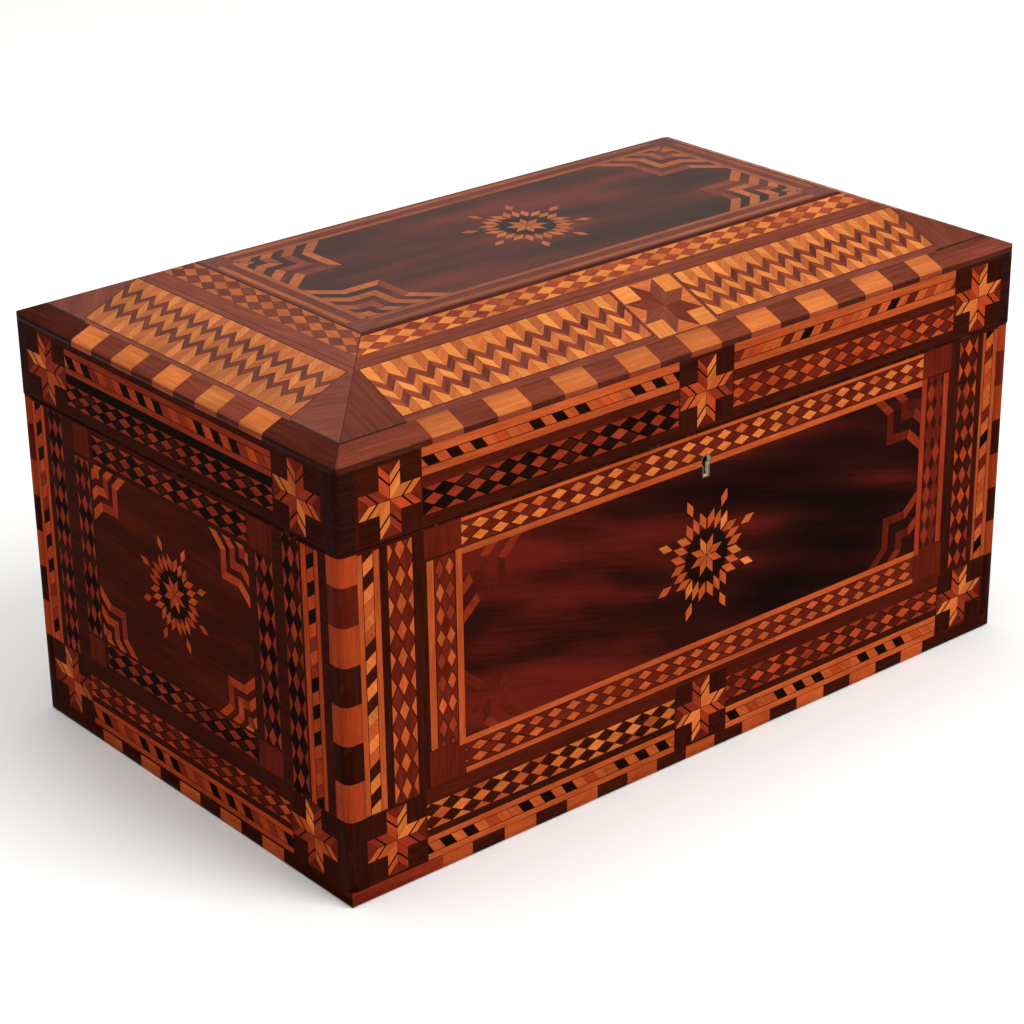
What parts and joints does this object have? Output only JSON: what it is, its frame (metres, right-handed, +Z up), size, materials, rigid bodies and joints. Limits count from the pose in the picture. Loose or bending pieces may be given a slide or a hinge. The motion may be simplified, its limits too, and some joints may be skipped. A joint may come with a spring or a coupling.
{
  "type": "wind up music box",
  "caption": "Parquetry casket music box with a hipped, locking, hinged lid over a lever-wound spring barrel, pinned cylinder, steel comb and worm governor.",
  "frame": {"origin": "middle of the casket's underside, where it stands", "axes": "+X to the right along the longest side, +Y from the keyhole front to the hinged back, +Z up"},
  "size_m": [0.322, 0.1974, 0.18],
  "materials": {
    "carcass": "satin",
    "parquetry": "French polish",
    "banding": "French polish",
    "rosewood": "French polish",
    "turned_wood": "polished",
    "brass": "polished",
    "steel": "polished",
    "bed": "bronze paint",
    "pane": "clear"
  },
  "bodies": {
    "case": {"front_board": "carcass", "back_board": "carcass", "end_boards": "carcass", "base_board": "carcass", "base_banding": "banding", "corner_bandings": "banding", "body_veneers": "parquetry", "escutcheon": "brass", "lock_case": "brass", "hinge_body_leaves": "brass", "hinge_pins": "steel", "case_screws": "steel", "partitions": "carcass", "glass_beads": "carcass", "glass_pane": "pane", "movement_bearers": "carcass", "bedplate": "bed", "movement_screws": "steel", "comb_base": "brass", "comb": "steel", "cylinder_bridges": "brass", "barrel_bridges": "brass", "click_plate": "brass", "governor_frame": "brass", "stop_post": "brass"},
    "lid": {"lid_sides": "carcass", "lid_corner_bandings": "rosewood", "lid_slope_boards": "carcass", "lid_top_board": "carcass", "lid_side_veneers": "parquetry", "lid_slope_veneers": "parquetry", "lid_top_veneer": "parquetry", "lid_edge_banding": "banding", "hinge_lid_leaves": "brass", "lid_screws": "steel", "link_plate": "brass"},
    "bolt": {"lock_bolt": "steel"},
    "lever": {"winding_lever": "steel", "lever_grip": "turned_wood", "drive_pawl": "steel"},
    "winding": {"winding_arbor": "steel", "ratchet_wheel": "steel", "lever_nut": "steel"},
    "click": {"click": "steel"},
    "tune_cylinder": {"cylinder": "brass", "cylinder_arbor": "steel", "cylinder_pinion": "steel", "cylinder_gear": "brass"},
    "barrel": {"barrel_drum": "brass", "barrel_cap": "brass", "great_wheel": "brass", "mainspring": "steel"},
    "first_wheel": {"governor_first_arbor": "steel", "governor_first_wheel": "brass"},
    "second_wheel": {"governor_second_arbor": "steel", "governor_worm_wheel": "brass"},
    "fly": {"governor_worm": "steel", "governor_fly": "brass"},
    "stop": {"stop_lever": "brass", "stop_knob": "turned_wood"}
  },
  "joints": [
    {"name": "lid_hinge", "type": "hinge", "parent": "case", "child": "lid", "pos_m": [0, 0.0988, 0.129], "axis": [-1, 0, 0], "range_deg": [0, 95]},
    {"name": "bolt_slide", "type": "slide", "parent": "case", "child": "bolt", "axis": [1, 0, 0], "range_m": [0, 0.004]},
    {"name": "lever_swing", "type": "hinge", "parent": "case", "child": "lever", "pos_m": [-0.113, 0.048, 0.07], "axis": [1, 0, 0], "range_deg": [0, 90]},
    {"name": "arbor_wind", "type": "hinge", "parent": "case", "child": "winding", "pos_m": [-0.1, 0.048, 0.07], "axis": [1, 0, 0], "range_deg": [0, 90]},
    {"name": "click_drop", "type": "hinge", "parent": "case", "child": "click", "pos_m": [-0.109, 0.04231, 0.04875], "axis": [1, 0, 0], "range_deg": [0, 10]},
    {"name": "cylinder_spin", "type": "hinge", "parent": "case", "child": "tune_cylinder", "pos_m": [0.01, 0.008, 0.07], "axis": [1, 0, 0], "continuous": true},
    {"name": "barrel_spin", "type": "hinge", "parent": "case", "child": "barrel", "pos_m": [-0.07, 0.048, 0.07], "axis": [1, 0, 0], "continuous": true},
    {"name": "first_spin", "type": "hinge", "parent": "case", "child": "first_wheel", "pos_m": [0.077, 0.03813, 0.0636], "axis": [1, 0, 0], "continuous": true},
    {"name": "second_spin", "type": "hinge", "parent": "case", "child": "second_wheel", "pos_m": [0.077, 0.04885, 0.0726], "axis": [1, 0, 0], "continuous": true},
    {"name": "fly_spin", "type": "hinge", "parent": "case", "child": "fly", "pos_m": [0.08325, 0.05865, 0.08], "axis": [0, 0, 1], "continuous": true},
    {"name": "stop_swing", "type": "hinge", "parent": "case", "child": "stop", "pos_m": [0.09, 0.022, 0.095], "axis": [0, 0, 1], "range_deg": [0, 16]}
  ],
  "couplings": [
    {"joint": "arbor_wind", "follows": "lever_swing", "ratio": 1},
    {"joint": "barrel_spin", "follows": "cylinder_spin", "ratio": -0.33333},
    {"joint": "first_spin", "follows": "cylinder_spin", "ratio": -4.5},
    {"joint": "second_spin", "follows": "cylinder_spin", "ratio": 11.25},
    {"joint": "fly_spin", "follows": "cylinder_spin", "ratio": -225}
  ]
}
